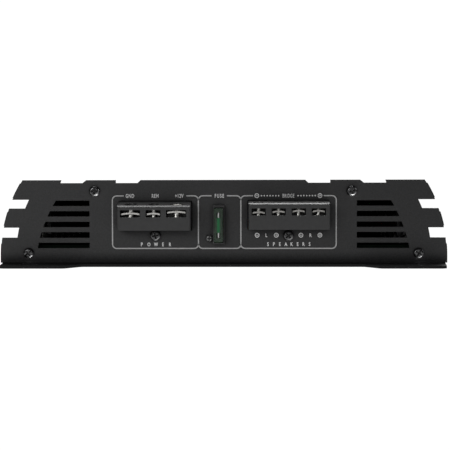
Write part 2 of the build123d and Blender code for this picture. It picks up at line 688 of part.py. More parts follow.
def make_chips():
    """Eight-pin control chips with formed legs."""
    parts = []
    for x, y in CHIPS:
        body = block(x - 4.9, x + 4.9, y - 3.2, y + 3.2, BOARD_TOP + 0.6, BOARD_TOP + 4)
        for col in range(4):
            pin = x - 3.81 + 2.54 * col
            for side in (-1, 1):
                inner = y + side * 3.2
                edge = y + side * 3.9
                low, high = min(inner, edge), max(inner, edge)
                body += block(pin - 0.3, pin + 0.3, low, high, BOARD_TOP, BOARD_TOP + 2.2)
        parts.append(body - rod_z(x - 4.9, y, 0.9, BOARD_TOP + 3.4, BOARD_TOP + 5))
    return group(parts)


# ---- control end -----------------------------------------------------------------------------------

def make_rca_housing():
    left = RCA_X[0] - 8
    right = RCA_X[-1] + 8
    back = -INNER_Y - 15
    front = -INNER_Y
    housing = block(left, right, back, front, BOARD_TOP, RCA_Z[-1] + 7)
    housing = fillet(housing.edges().filter_by(Axis.Y), 1.0)
    for x in RCA_X:
        for z in RCA_Z:
            housing -= rod_y(x, z, RCA_BASE_R + 0.05, front - 10, front + 1)
    centre = (sum(RCA_X) / 2, sum(RCA_Z) / 2)
    return housing - rod_y(*centre, M3_R + RUNNING, front - 8, front + 1)


def rca_set(outer_r, inner_r, y0, y1, columns=RCA_X):
    rings = []
    for x in columns:
        for z in RCA_Z:
            rings.append(rod_y(x, z, outer_r, y0, y1) - rod_y(x, z, inner_r, y0 - 1, y1 + 1))
    return group(rings)


def make_rca_shells(y0, y1):
    """Outer contact tubes with a thicker base where they pass through the plate."""
    shoulder = -FACE_Y + RCA_BASE_PROUD
    shells = []
    for x in RCA_X:
        for z in RCA_Z:
            tube = rod_y(x, z, RCA_BASE_R, y0, shoulder) + rod_y(x, z, RCA_SHELL_R, shoulder, y1)
            shells.append(tube - rod_y(x, z, RCA_SHELL_R - 0.4, y0 - 1, y1 + 1))
    return group(shells)


def make_pot_bodies():
    bodies = []
    for x in POT_X:
        body = block(x - 6, x + 6, 82.5, 90, POT_Z - 7, POT_Z + 7)
        body = chamfer(body.edges().filter_by(Axis.Y), 1.2)
        body += block(x - 5, x + 5, 84, 88, BOARD_TOP, POT_Z - 6)
        body += rod_y(x, POT_Z, 4.6, 90, -INNER_Y)
        bodies.append(body - rod_y(x, POT_Z, SHAFT_R + RUNNING, 86, 99))
    return group(bodies)


def make_knob(x):
    """Fluted knob in one piece with its shaft; a slot across its face shows the setting."""
    face = -FACE_Y + 8.2
    knob = rod_y(x, POT_Z, KNOB_R, -FACE_Y + 0.7, face)
    knob = chamfer(knob.edges().filter_by(GeomType.CIRCLE), 0.5)
    for i in range(18):
        angle = math.radians(20 * i)
        flute = rod_y(x + 5.5 * math.cos(angle), POT_Z + 5.5 * math.sin(angle), 0.55, 90, 110)
        knob -= flute
    knob -= block(x - 0.6, x + 0.6, face - 1.2, face + 1, POT_Z - 0.5, POT_Z + 6)
    return knob + rod_y(x, POT_Z, SHAFT_R, 86.3, -FACE_Y + 0.7)


def make_switch_frame():
    front = -INNER_Y
    frame = block(SWITCH_X - 8, SWITCH_X + 8, front - 8, front, SWITCH_Z - 5, SWITCH_Z + 5)
    frame += block(SWITCH_X - 7, SWITCH_X + 7, front - 6, front - 3, BOARD_TOP, SWITCH_Z - 5)
    frame -= block(SWITCH_X - 5.1, SWITCH_X + 5.1, front - 6, front - 1, SWITCH_Z - 2.6, SWITCH_Z + 2.6)
    return frame - block(SWITCH_X - 3.7, SWITCH_X + 3.7, front - 2, front + 1, SWITCH_Z - 1.7, SWITCH_Z + 1.7)


def make_switch_slider():
    front = -INNER_Y
    foot = block(SWITCH_X - 3, SWITCH_X + 3, front - 5.9, front - 1.1, SWITCH_Z - 2.5, SWITCH_Z + 2.5)
    button = block(SWITCH_X - 1.6, SWITCH_X + 1.6, front - 1.1, -FACE_Y + 2.6, SWITCH_Z - 1.6, SWITCH_Z + 1.6)
    return foot + chamfer(button.faces().sort_by(Axis.Y)[-1].edges(), 0.3)


def make_led(z):
    """Domed indicator lamp with two wire legs to the board."""
    y = -FACE_Y + 0.6
    lens = rod_y(LED_X, z, LED_R, 91.5, y) + Pos(LED_X, y, z) * Sphere(LED_R)
    lens += rod_y(LED_X, z, LED_R + 0.4, 91.5, 92.5)
    legs = []
    for side in (-1, 1):
        x = LED_X + side * 1.27
        back = 88.0 - (z - LED_Z[0]) / 3
        leg = block(x - 0.25, x + 0.25, back, 91.5, z - 0.25, z + 0.25)
        legs.append(leg + block(x - 0.25, x + 0.25, back, back + 0.5, BOARD_TOP, z))
    return group([lens, *legs])


# ---- assembly ---------------------------------------------------------------------------------------

def build():
    toroid = make_toroid()
    choke = make_choke()
    device_bodies, device_metal = power_devices()
    block_screw = pan_screw(M3_HEAD_R, M3_HEAD_H, M3_R, 7)
    rca_out = -FACE_Y + RCA_LENGTH
    rca_in = -INNER_Y - 9.5
    parts = {
        "heat_sink": make_heat_sink(),
        "terminal_end_plate": make_terminal_plate(),
        "control_end_plate": make_control_plate(),
        "bottom_cover": make_bottom_cover(),
        "end_plate_screws": make_end_plate_screws(),
        "bottom_cover_screws": make_cover_screws(),
        "circuit_board": make_circuit_board(),
        "power_terminal_body": make_block(POWER_BLOCK, POWER_MOUTH, POWER_TERMINALS, POWER_SCREW_X),
        "power_terminal_contacts": make_contacts(POWER_MOUTH, POWER_TERMINALS),
        "speaker_terminal_body": make_block(
            SPEAKER_BLOCK, SPEAKER_MOUTH, SPEAKER_TERMINALS, SPEAKER_SCREW_X
        ),
        "speaker_terminal_contacts": make_contacts(SPEAKER_MOUTH, SPEAKER_TERMINALS),
        "connector_screws": group(
            [
                face_front(POWER_SCREW_X, FACE_Y, BLOCK_SCREW_Z, Rot(0, 0, 12) * block_screw),
                face_front(SPEAKER_SCREW_X, FACE_Y, BLOCK_SCREW_Z, Rot(0, 0, 40) * block_screw),
                face_back(sum(RCA_X) / 2, -FACE_Y, sum(RCA_Z) / 2, block_screw),
            ]
        ),
        "fuse_holder": make_fuse_holder(),
        "fuse_holder_screw": face_front(
            HOLDER_SCREW_X, FACE_Y, HOLDER_SCREW_Z, pan_screw(M2_HEAD_R, M2_HEAD_H, M2_R, 5.5)
        ),
        "fuse_contacts": make_fuse_contacts(),
        "fuse_body": make_fuse_body(),
        "fuse_blades": make_fuse_blades(),
        "toroid_core": toroid[0],
        "toroid_primary": toroid[1],
        "toroid_secondary": toroid[2],
        "toroid_clamp_disc": toroid[3],
        "toroid_bolt": toroid[4],
        "choke_core": choke[0],
        "choke_winding": choke[1],
        "transistor_bodies": device_bodies,
        "transistor_leads": device_metal,
        "insulating_pads": make_pads(),
        "clamp_bars": make_clamp_bars(),
        "clamp_bar_screws": make_bar_screws(),
        "supply_capacitors": group([capacitor(x, y, 8.0, 25.0) for x, y in SUPPLY_CAPS]),
        "rail_capacitors": group([capacitor(x, y, 9.5, 26.0) for x, y in RAIL_CAPS]),
        "control_chips": make_chips(),
        "power_resistors": make_resistors(),
        "rca_jack_housing": make_rca_housing(),
        "rca_shells": make_rca_shells(rca_in, rca_out),
        "rca_centre_contacts": rca_set(RCA_BORE_R + 0.5, RCA_BORE_R, rca_in + 0.5, rca_out - 0.9),
        "rca_insulators_left": rca_set(
            RCA_SHELL_R - 0.42, RCA_BORE_R + 0.52, rca_in + 1, rca_out - 0.5, RCA_X[:1]
        ),
        "rca_insulators_right": rca_set(
            RCA_SHELL_R - 0.42, RCA_BORE_R + 0.52, rca_in + 1, rca_out - 0.5, RCA_X[1:]
        ),
        "pot_bodies": make_pot_bodies(),
        "switch_frame": make_switch_frame(),
        "switch_slider": make_switch_slider(),
        "power_led": make_led(LED_Z[1]),
        "protect_led": make_led(LED_Z[0]),
    }
    for name, x in zip(POT_NAMES, POT_X):
        parts[name] = make_knob(x)
    for mouth, terminals in ((POWER_MOUTH, POWER_TERMINALS), (SPEAKER_MOUTH, SPEAKER_TERMINALS)):
        for terminal in terminals:
            parts[terminal[0] + "_clamp"] = make_clamp(terminal)
            parts[terminal[0] + "_screw"] = make_clamp_screw(terminal, mouth)
    return parts


os.makedirs("parts", exist_ok=True)
for part_name, shape in build().items():
    export_step(shape, f"parts/{part_name}.step")
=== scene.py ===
import math
from collections import namedtuple

import bmesh
import bpy
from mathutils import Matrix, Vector


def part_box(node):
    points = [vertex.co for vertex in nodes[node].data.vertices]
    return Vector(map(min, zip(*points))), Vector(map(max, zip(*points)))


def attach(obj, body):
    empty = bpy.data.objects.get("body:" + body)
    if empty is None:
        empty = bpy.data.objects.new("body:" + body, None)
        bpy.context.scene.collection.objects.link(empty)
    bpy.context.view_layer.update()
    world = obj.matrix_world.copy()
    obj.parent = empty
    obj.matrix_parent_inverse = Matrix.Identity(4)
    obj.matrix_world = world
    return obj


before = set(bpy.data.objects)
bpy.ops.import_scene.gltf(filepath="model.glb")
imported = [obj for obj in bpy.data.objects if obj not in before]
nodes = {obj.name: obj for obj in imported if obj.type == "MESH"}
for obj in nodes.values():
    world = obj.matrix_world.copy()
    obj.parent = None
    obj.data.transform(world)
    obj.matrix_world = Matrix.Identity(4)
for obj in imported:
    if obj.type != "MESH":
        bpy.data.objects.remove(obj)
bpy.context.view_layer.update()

MM = 0.001


def box_mm(node):
    """Lowest and highest corner of a CAD piece, in millimetres."""
    low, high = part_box(node)
    return low / MM, high / MM


def middle_mm(node):
    low, high = box_mm(node)
    return (low + high) / 2


PLATE_SHEET = 1.5        # thickness of the end plates, mm
FACE_Y = box_mm("terminal_end_plate")[1].y - PLATE_SHEET    # outer face of the terminal end plate, mm


# ---------------------------------------------------------------- materials

PATTERN = (0.3, 0.7)     # the part of a noise texture's range that carries its pattern
CLEAR_IOR = 1.49         # refraction of the see-through mouldings


class NodeTree:
    """Short cuts for building a tree of procedural nodes."""

    def __init__(self, tree):
        self.tree = tree

    def feed(self, sockets, values):
        """Give each input a plain value or the output of another node."""
        for socket, value in zip(sockets, values):
            if isinstance(value, bpy.types.NodeSocket):
                self.tree.links.new(value, socket)
            else:
                socket.default_value = value

    def fill(self, node, settings):
        """Feed the inputs of a node by name; a space in a name may be written as a low line."""
        self.feed([node.inputs[name.replace("_", " ")] for name in settings], settings.values())

    def node(self, kind, **settings):
        made = self.tree.nodes.new(kind)
        self.fill(made, settings)
        return made

    def maths(self, operation, *values, kind="ShaderNodeMath"):
        made = self.node(kind)
        made.operation = operation
        self.feed(made.inputs, values)
        return made.outputs["Value"]

    def vector_maths(self, operation, *values):
        return self.maths(operation, *values, kind="ShaderNodeVectorMath")

    def ranged(self, value, start, end, low=0.0, high=1.0):
        """Turn a value between start and end into one between low and high, and hold it there."""
        made = self.node("ShaderNodeMapRange", Value=value, From_Min=start, From_Max=end)
        self.fill(made, {"To Min": low, "To Max": high})
        return made.outputs["Result"]


class Shader(NodeTree):
    """A Principled material with a base colour and roughness that nodes can vary."""

    def __init__(self, name, color, rough, metal=0.0):
        self.mat = bpy.data.materials.new(name)
        self.mat.use_nodes = True
        super().__init__(self.mat.node_tree)
        self.color = color
        self.rough = rough
        self.surface(Base_Color=(*color, 1), Roughness=rough, Metallic=metal)
        self.coords = self.node("ShaderNodeTexCoord").outputs["Object"]

    def surface(self, **settings):
        self.fill(self.tree.nodes["Principled BSDF"], settings)
        return self

    def place(self):
        """The X, Y and Z of the point that is being shaded, in metres."""
        return self.node("ShaderNodeSeparateXYZ", Vector=self.coords).outputs

    def noise(self, scale, detail=2.0, stretch=(1, 1, 1)):
        spot = self.node("ShaderNodeMapping", Vector=self.coords, Scale=stretch).outputs["Vector"]
        return self.node("ShaderNodeTexNoise", Vector=spot, Scale=scale, Detail=detail).outputs["Fac"]

    def blend(self, factor, color, other):
        """Mix the base colour from two."""
        mix = self.node("ShaderNodeMix")
        mix.data_type = "RGBA"
        self.fill(mix, {"Factor": factor, "A": (*color, 1), "B": (*other, 1)})
        return self.surface(Base_Color=mix.outputs["Result"])

    def mottle(self, value, other):
        """Vary the colour between the base and another one."""
        return self.blend(self.ranged(value, *PATTERN), self.color, other)

    def vary_rough(self, value, spread):
        made = self.ranged(value, *PATTERN, self.rough - spread, self.rough + spread)
        return self.surface(Roughness=made)

    def relief(self, value, height, round_edges=0.0):
        """Bump from a value; optionally soften the edges with a small round."""
        bump = self.node("ShaderNodeBump", Strength=1.0, Distance=height, Height=value)
        if round_edges:
            bevel = self.node("ShaderNodeBevel", Radius=round_edges)
            bevel.samples = 4
            self.fill(bump, {"Normal": bevel.outputs["Normal"]})
        return self.surface(Normal=bump.outputs["Normal"])


def powder_coat(name, color, rough):
    """Satin powder coat with a fine grain; painted shade turns its sheen down in corners, beside raised
    parts and near the floor.
    """
    shader = Shader(name, color, rough)
    # painted shade: ambient occlusion and height above the floor lower the sheen where shade falls
    corner_shade_ao = shader.node("ShaderNodeAmbientOcclusion", Distance=6 * MM)
    corner_shade_ao.samples = 8
    sheen_left_by_corner_shade = shader.ranged(corner_shade_ao.outputs["AO"], 0.2, 0.92, 0.0, 0.42)
    sheen_left_by_bottom_shade = shader.ranged(shader.place()["Z"], 2 * MM, 8 * MM, 0.15, 1.0)
    shader.surface(Specular_IOR_Level=shader.maths("MULTIPLY", sheen_left_by_corner_shade, sheen_left_by_bottom_shade))
    shader.relief(shader.noise(2300, 3.0), 0.04 * MM, 0.3 * MM)
    shader.mottle(shader.noise(1500, 3.0), [c * 1.7 + 0.004 for c in color])
    return shader.vary_rough(shader.noise(900), 0.05).mat


def anodised(name, color, rough):
    """Black anodised extrusion with die lines along its length, duller at glancing angles."""
    shader = Shader(name, color, rough)
    glancing = shader.node("ShaderNodeLayerWeight").outputs["Facing"]
    shader.surface(Specular_IOR_Level=shader.ranged(glancing, 0.7, 0.95, 0.4, 0.04))
    shader.relief(shader.noise(1600, 3.0, (1, 0.006, 1)), 0.02 * MM, 0.4 * MM)
    shader.mottle(shader.noise(240, 3.0, (1, 0.03, 1)), [c * 1.6 for c in color])
    return shader.vary_rough(shader.noise(700, 2.0, (1, 0.02, 1)), 0.07).mat


def moulded(name, color, rough=0.42, grain=0.02 * MM):
    """Moulded plastic with a faint grain."""
    shader = Shader(name, color, rough)
    shader.relief(shader.noise(1800), grain, 0.25 * MM)
    shader.mottle(shader.noise(400), [c * 1.15 + 0.002 for c in color])
    return shader.vary_rough(shader.noise(600), 0.05).mat


def plated(name, color, rough):
    """Plated or bare metal with light handling marks."""
    shader = Shader(name, color, rough, 1.0)
    shader.relief(shader.noise(1400, 3.0), 0.01 * MM, 0.12 * MM)
    shader.mottle(shader.noise(500, 3.0), [c * 0.72 for c in color])
    return shader.vary_rough(shader.noise(900, 3.0), 0.08).mat


def screw_head(name, color, rough, painted_rim_highlight):
    """Dark plated head with a painted highlight, a reflection painted on its rim low on the right."""
    toward_painted_highlight = (0.4, 0.0, -0.9)
    shader = Shader(name, color, rough, 1.0)
    normal = shader.node("ShaderNodeNewGeometry").outputs["Normal"]
    facing = shader.vector_maths("DOT_PRODUCT", normal, toward_painted_highlight)
    # painted highlight: the colour turns bright where the normal faces low and to the right
    shader.blend(shader.ranged(facing, 0.35, 0.75), color, painted_rim_highlight)
    shader.relief(shader.noise(1400, 3.0), 0.01 * MM, 0.12 * MM)
    return shader.vary_rough(shader.noise(900, 3.0), 0.06).mat


def threaded(name, color, rough, pitch):
    """Plated metal cut with a screw thread of the given pitch along Z."""
    wave_length = 0.314      # of the wave texture at scale 1
    shader = Shader(name, color, rough, 1.0)
    wave = shader.node("ShaderNodeTexWave", Vector=shader.coords, Scale=wave_length / pitch)
    wave.wave_type = "BANDS"
    wave.bands_direction = "Z"
    wave.wave_profile = "TRI"
    shader.relief(wave.outputs["Fac"], pitch * 0.12)
    return shader.mottle(wave.outputs["Fac"], [c * 0.6 for c in color]).mat


def lens(name, color):
    """Tinted see-through moulding."""
    shader = Shader(name, color, 0.12)
    shader.surface(Transmission_Weight=0.7, IOR=CLEAR_IOR)
    shader.relief(shader.noise(700), 0.02 * MM, 0.2 * MM)
    return shader.mottle(shader.noise(300), [min(1.0, c * 1.25 + 0.01) for c in color]).mat


def fuse_plastic(name, heart, shell, low, high, heart_length):
    """Smoky clear moulding, green down the middle where the link shows through."""
    shader = Shader(name, heart, 0.22)
    shader.surface(Transmission_Weight=0.35, IOR=CLEAR_IOR)
    place = shader.place()
    middle = (low + high) / 2
    half_width = (high.x - low.x) / 2

    def away(axis, near, far):
        """0 up to one distance from the middle along an axis, 1 from another distance on."""
        offset = shader.maths("SUBTRACT", place[axis], getattr(middle, axis.lower()))
        return shader.ranged(shader.maths("ABSOLUTE", offset), near, far)

    beside = away("X", half_width * 0.15, half_width * 0.5)
    beyond = away("Z", heart_length * 0.4, heart_length * 0.6)
    shader.blend(shader.maths("MAXIMUM", beside, beyond), heart, shell)
    return shader.relief(shader.noise(900), 0.05 * MM, 0.2 * MM).mat


def laminate(name):
    """Circuit board: dark solder mask over faint copper tracks."""
    mask = (0.001, 0.003, 0.0015)
    track = (0.0015, 0.005, 0.0025, 1)
    between = (0.0006, 0.0015, 0.001, 1)
    shader = Shader(name, mask, 0.6)
    brick = shader.node("ShaderNodeTexBrick", Vector=shader.coords, Scale=90.0, Mortar_Size=0.03)
    shader.fill(brick, {"Color1": (*mask, 1), "Color2": track, "Mortar": between})
    shader.surface(Base_Color=brick.outputs["Color"], Specular_IOR_Level=0.03)
    return shader.relief(brick.outputs["Fac"], 0.04 * MM).mat


def wire_enamel(name, color):
    """Copper winding wire under clear enamel."""
    shader = Shader(name, color, 0.28, 0.85)
    shader.relief(shader.noise(900), 0.02 * MM, 0.3 * MM)
    return shader.mottle(shader.noise(250, 3.0), [c * 0.55 for c in color]).mat


def printed(name, brightness):
    """Screen-printed ink, slightly uneven."""
    shader = Shader(name, [brightness] * 3, 0.6)
    shader.surface(Specular_IOR_Level=0.2)
    shader.relief(shader.noise(2500), 0.01 * MM)
    return shader.mottle(shader.noise(1800, 3.0), [brightness * 0.75] * 3).mat


STEEL_BLACK = powder_coat("powder_coat", (0.010, 0.010, 0.0105), 0.5)
SINK_BLACK = anodised("anodised", (0.010, 0.010, 0.0105), 0.52)
PLASTIC_BLACK = moulded("moulded_black", (0.016, 0.016, 0.0165), 0.36, 0.006 * MM)
KNOB_BLACK = moulded("knob_black", (0.016, 0.016, 0.016), 0.5)
# the last colour is the painted highlight on the heads' lower rims
SCREW_BLACK = screw_head("black_zinc", (0.09, 0.09, 0.092), 0.2, (0.85, 0.85, 0.85))
SMALL_SCREW = plated("black_zinc_small", (0.2, 0.2, 0.2), 0.3)
CLAMP_BAR_BLACK = plated("black_oxide", (0.03, 0.03, 0.031), 0.4)
NICKEL = plated("nickel", (0.78, 0.76, 0.72), 0.2)
CLAMP_STEEL = plated("clamp_steel", (0.42, 0.41, 0.39), 0.35)
# painted light: a lighter copy of the clamp steel for the power block's clamps
CLAMP_STEEL_LIT = plated("clamp_steel_lit", (0.66, 0.65, 0.62), 0.35)
# painted shade: a near-black material for the cross recesses in the screw heads and the walls of the
# fuse's windows
RECESS_SHADE = moulded("recess_shade", (0.006, 0.006, 0.006), 0.7)
TIN = plated("tinned", (0.72, 0.72, 0.71), 0.32)
# painted shade: a darker copy of the tin for the transistor leads deep inside the case
TIN_SHADED = plated("tin_shaded", (0.22, 0.22, 0.22), 0.5)
ZINC = plated("zinc", (0.6, 0.6, 0.61), 0.35)
GOLD = plated("gold", (0.85, 0.6, 0.25), 0.22)
EPOXY = moulded("epoxy", (0.018, 0.018, 0.019), 0.55)
FERRITE = moulded("ferrite", (0.06, 0.062, 0.065), 0.6, 0.06 * MM)
PAD = moulded("silicone_pad", (0.34, 0.34, 0.32), 0.75)
CERAMIC = moulded("ceramic", (0.62, 0.6, 0.55), 0.8, 0.05 * MM)
WHITE = moulded("white_moulding", (0.7, 0.7, 0.68))
RED = moulded("red_moulding", (0.45, 0.015, 0.015))
SLEEVE = moulded("can_sleeve", (0.012, 0.018, 0.09), 0.25)
CAN_TOP = plated("can_top", (0.75, 0.75, 0.75), 0.35)
COPPER = wire_enamel("enamelled_copper", (0.5, 0.17, 0.06))
COPPER_FINE = wire_enamel("enamelled_copper_fine", (0.6, 0.26, 0.08))
BOARD = laminate("board")
FUSE_GREEN = fuse_plastic(
    "fuse_green",
    heart=(0.004, 0.17, 0.05),
    shell=(0.028, 0.052, 0.031),
    low=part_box("fuse_body")[0],
    high=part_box("fuse_body")[1],
    heart_length=9.5 * MM,
)
LENS_GREEN = lens("lens_green", (0.1, 0.65, 0.12))
LENS_RED = lens("lens_red", (0.7, 0.04, 0.03))
INK = printed("ink", 0.5)
INK_BRIGHT = printed("ink_bright", 0.9)

FINISH = {
    "heat_sink": SINK_BLACK,
    "terminal_end_plate": STEEL_BLACK,
    "control_end_plate": STEEL_BLACK,
    "bottom_cover": STEEL_BLACK,
    "end_plate_screws": SCREW_BLACK,
    "bottom_cover_screws": SCREW_BLACK,
    "connector_screws": SCREW_BLACK,
    "fuse_holder_screw": SMALL_SCREW,
    "circuit_board": BOARD,
    "power_terminal_body": PLASTIC_BLACK,
    "speaker_terminal_body": PLASTIC_BLACK,
    "power_terminal_contacts": NICKEL,
    "speaker_terminal_contacts": NICKEL,
    "fuse_holder": PLASTIC_BLACK,
    "fuse_contacts": TIN,
    "fuse_body": FUSE_GREEN,
    "fuse_blades": TIN,
    "toroid_core": FERRITE,
    "toroid_primary": COPPER,
    "toroid_secondary": COPPER_FINE,
    "toroid_clamp_disc": ZINC,
    "toroid_bolt": ZINC,
    "choke_core": FERRITE,
    "choke_winding": COPPER,
    "transistor_bodies": EPOXY,
    "transistor_leads": TIN_SHADED,
    "insulating_pads": PAD,
    "clamp_bars": CLAMP_BAR_BLACK,
    "clamp_bar_screws": CLAMP_BAR_BLACK,
    "supply_capacitors": SLEEVE,
    "rail_capacitors": SLEEVE,
    "control_chips": EPOXY,
    "power_resistors": CERAMIC,
    "rca_jack_housing": PLASTIC_BLACK,
    "rca_shells": NICKEL,
    "rca_centre_contacts": GOLD,
    "rca_insulators_left": WHITE,
    "rca_insulators_right": RED,
    "pot_bodies": ZINC,
    "switch_frame": ZINC,
    "switch_slider": KNOB_BLACK,
    "level_knob": KNOB_BLACK,
    "low_pass_knob": KNOB_BLACK,
    "bass_boost_knob": KNOB_BLACK,
    "power_led": LENS_GREEN,
    "protect_led": LENS_RED,
}
TERMINALS = ("ground", "remote", "supply", "speaker_1", "speaker_2", "speaker_3", "speaker_4")
# the power block's clamps get the lighter copy of the clamp steel, painted light
for terminal in TERMINALS:
    FINISH[terminal + "_clamp"] = CLAMP_STEEL if "speaker" in terminal else CLAMP_STEEL_LIT
    FINISH[terminal + "_screw"] = CLAMP_STEEL

for name, obj in nodes.items():
    obj.data.materials.clear()
    obj.data.materials.append(FINISH[name])
    weld = obj.modifiers.new("weld", "WELD")
    weld.merge_threshold = 1e-6
    for face in obj.data.polygons:
        face.use_smooth = False


# ---------------------------------------------------------------- second materials on some faces, painted shade in recesses among them

RECESS_FLOOR = 0.45      # height of the cross recess's floor as a share of the head's
NEAR = 0.05              # how close to a surface still counts as on it, mm
WINDOW_OFFSET = 5.6      # the fuse's two windows: distance from its middle, half length, half width, mm
WINDOW_HALF_LONG = 1.5
WINDOW_HALF_WIDE = 1.1
LENS_BACK = 91.4         # just behind the lamps' lenses, mm
CAN_RIM = 0.9            # the bare top of a can reaches this far down its rounded rim, mm
CLAMP_HEAD = 1.8         # height of the clamp screws' heads, mm
UNDERCUT = 0.3           # the thread starts this far below the head, mm


def paint(obj, test, material):
    """Give the faces that pass the test, by centre in millimetres and by normal, a second material."""
    obj.data.materials.append(material)
    index = len(obj.data.materials) - 1
    for face in obj.data.polygons:
        if test(face.center / MM, face.normal):
            face.material_index = index


def in_recess(head_height):
    """Test for the walls and floor of the cross recess in a plate screw's head."""
    floor_y = RECESS_FLOOR * head_height - FACE_Y

    def test(centre, normal):
        above = abs(centre.y) - floor_y
        on_wall = above > NEAR and abs(normal.y) < 0.1
        on_floor = abs(above) < NEAR and abs(normal.y) > 0.99
        return on_wall or on_floor

    return test


def in_window(middle):
    """Test for the walls of the two windows in the fuse's front."""

    def test(centre, normal):
        across = abs(centre.x - middle.x) < WINDOW_HALF_WIDE + NEAR
        along = abs(abs(centre.z - middle.z) - WINDOW_OFFSET) < WINDOW_HALF_LONG + NEAR
        return across and along and abs(normal.y) < 0.5

    return test


def on_top(height):
    return lambda centre, normal: centre.z > height and normal.z > 0.5


def below(height):
    return lambda centre, normal: centre.z < height


# painted shade in the cross recesses of the screw heads and on the walls of the fuse's two windows
for name in ("end_plate_screws", "connector_screws", "fuse_holder_screw"):
    head_height = FACE_Y - box_mm(name)[0].y
    paint(nodes[name], in_recess(head_height), RECESS_SHADE)
paint(nodes["fuse_body"], in_window(middle_mm("fuse_body")), RECESS_SHADE)
for name in ("supply_capacitors", "rail_capacitors"):
    paint(nodes[name], on_top(box_mm(name)[1].z - CAN_RIM), CAN_TOP)
for name in ("power_led", "protect_led"):
    paint(nodes[name], lambda centre, normal: centre.y < LENS_BACK, TIN)
for terminal in TERMINALS:
    name = terminal + "_screw"
    pitch = 0.7 if terminal in ("ground", "supply") else 0.5
    thread = threaded(terminal + "_thread", (0.85, 0.84, 0.8), 0.3, pitch * MM)
    paint(nodes[name], below(box_mm(name)[1].z - CLAMP_HEAD - UNDERCUT), thread)


# ---------------------------------------------------------------- printed legends

INK_T = 0.06             # height of the ink's top face above the plate, mm
INK_GAP = 0.005          # height of its underside, mm
CAP_HEIGHT = 0.7         # of the font's capitals at size 1

# cap height in mm, width against the font's own, letter spacing, and growth of the strokes
Style = namedtuple("Style", "height squeeze gap bold")


class Print:
    """Thin ink shapes on an end plate, drawn in the X-Z plane in millimetres."""

    def __init__(self, name, face_y, facing):
        self.name = name
        self.face_y = face_y
        self.facing = facing       # -1 faces the terminal end, +1 the control end
        self.bm = bmesh.new()

    def corner(self, x, z, lift):
        return self.bm.verts.new(Vector((x, self.face_y + self.facing * lift, z)) * MM)

    def prism(self, outline):
        """Raise a flat outline, given as (x, z) pairs, off the plate."""
        low = [self.corner(x, z, INK_GAP) for x, z in outline]
        high = [self.corner(x, z, INK_T) for x, z in outline]
        self.bm.faces.new(high)
        for i in range(len(low)):
            j = (i + 1) % len(low)
            self.bm.faces.new((low[i], low[j], high[j], high[i]))

    def stroke(self, path, width=0.65, closed=False):
        """A line of constant width along a path."""
        count = len(path)
        left, right = [], []
        for i, (x, z) in enumerate(path):
            before = path[i - 1] if i or closed else path[i]
            after = path[(i + 1) % count] if i < count - 1 or closed else path[i]
            dx, dz = after[0] - before[0], after[1] - before[1]
            size = math.hypot(dx, dz)
            nx, nz = -dz / size * width / 2, dx / size * width / 2
            left.append((x + nx, z + nz))
            right.append((x - nx, z - nz))
        for i in range(count if closed else count - 1):
            j = (i + 1) % count
            self.prism([left[i], left[j], right[j], right[i]])

    def disc(self, x, z, r):
        self.prism(circle(x, z, r, 20))

    def ring(self, x, z, r, width):
        self.stroke(circle(x, z, r, 24), width, True)

    def text(self, words, x, z, style):
        """Lettering centred on a point, and read from outside the end plate."""
        curve = bpy.data.curves.new("lettering", "FONT")
        curve.body = words
        curve.size = 1.0
        curve.align_x = "CENTER"
        curve.space_character = style.gap
        curve.offset = style.bold
        curve.resolution_u = 3
        holder = bpy.data.objects.new("lettering", curve)
        bpy.context.scene.collection.objects.link(holder)
        bpy.context.view_layer.update()
        flat = bpy.data.meshes.new_from_object(holder)
        bpy.data.objects.remove(holder)
        ends = [v.co.x for v in flat.vertices]
        middle = (min(ends) + max(ends)) / 2
        up = style.height / CAP_HEIGHT
        across = -self.facing * up * style.squeeze
        for face in flat.polygons:
            spots = [flat.vertices[i].co for i in face.vertices]
            turned = [(x + across * (p.x - middle), z + up * (p.y - CAP_HEIGHT / 2)) for p in spots]
            self.bm.faces.new([self.corner(a, b, INK_T) for a, b in turned])
        bpy.data.meshes.remove(flat)

    def spread(self, word, first_x, step, z, style):
        """Lettering with a fixed distance from letter to letter."""
        for i, letter in enumerate(word):
            self.text(letter, first_x + step * i, z, style)

    def sign(self, x, z, plus):
        """A ringed plus or minus."""
        arm, width = 0.6, 0.36
        self.ring(x, z, 1.1, 0.42)
        self.stroke([(x - arm, z), (x + arm, z)], width)
        if plus:
            self.stroke([(x, z - arm), (x, z + arm)], width)

    def done(self, material):
        bmesh.ops.remove_doubles(self.bm, verts=self.bm.verts, dist=1e-7)
        bmesh.ops.recalc_face_normals(self.bm, faces=self.bm.faces)
        mesh = bpy.data.meshes.new(self.name)
        self.bm.to_mesh(mesh)
        self.bm.free()
        mesh.materials.append(material)
        obj = bpy.data.objects.new(self.name, mesh)
        bpy.context.scene.collection.objects.link(obj)
        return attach(obj, "chassis")


def on_circle(x, z, r, degrees):
    angle = math.radians(degrees)
    return x + r * math.cos(angle), z + r * math.sin(angle)


def circle(x, z, r, count):
    return [on_circle(x, z, r, 360 * i / count) for i in range(count)]


def arc(x, z, r, start, end, steps=6):
    return [on_circle(x, z, r, start + (end - start) * i / steps) for i in range(steps + 1)]


# terminal end: three frames round the power block, the fuse and the speaker block, all in millimetres
FRAME_LOW = 9.9
FRAME_HIGH = 39.4
FRAME_CORNER = 2.4
UPRIGHTS = (-62.0, -13.7, 10.1, 63.4)
TOP_BREAKS = ((-55.6, -20.4), (-6.3, 2.3), (16.9, 56.4))
TERMINAL_STYLE = Style(2.1, 0.67, 1.13, 0.02)
FUSE_STYLE = Style(2.1, 0.62, 1.45, 0.015)
BRIDGE_STYLE = Style(2.1, 0.58, 1.17, 0.012)
BLOCK_STYLE = Style(2.0, 0.74, 1.0, 0.02)
CHANNEL_STYLE = Style(2.0, 0.75, 1.0, 0.02)
CHANNEL_Z = 17.3
DOT_R = 0.42
DOT_PITCH = 1.6
DOTS = 7

front = Print("front_legend", FACE_Y, -1)
lettering = Print("front_lettering", FACE_Y, -1)


